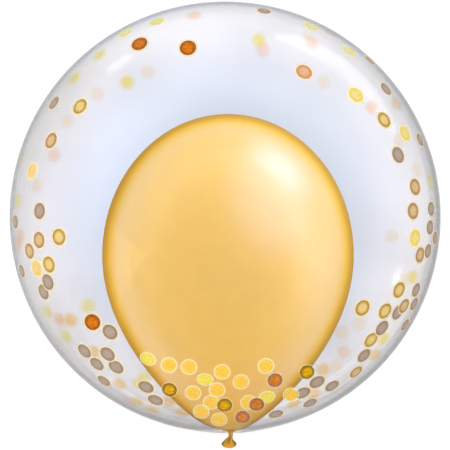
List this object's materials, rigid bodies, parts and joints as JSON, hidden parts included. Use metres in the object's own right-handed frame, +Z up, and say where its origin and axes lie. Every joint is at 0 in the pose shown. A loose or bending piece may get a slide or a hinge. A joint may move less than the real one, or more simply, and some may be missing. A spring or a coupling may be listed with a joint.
{
  "type": "double-layer confetti balloon",
  "caption": "Clear round film bubble printed with confetti dots, blown up round a gold pear-shaped latex balloon whose flared neck leaves its mouth, lying loose on its side.",
  "frame": {"origin": "middle of the small flat spot that the bubble rests on", "axes": "+Z up out of the floor, +Y along the balloons' common axis from the neck to the domes, +X to the right as seen from above with the neck at the bottom"},
  "size_m": [0.51, 0.5288, 0.5068],
  "materials": {
    "clear_film": "clear glossy film",
    "gold_latex": "satin pearl gold",
    "confetti_ink": "printed ink on film"
  },
  "bodies": {
    "root": {"clear_bubble": "clear_film", "gold_balloon": "gold_latex"}
  },
  "joints": []
}
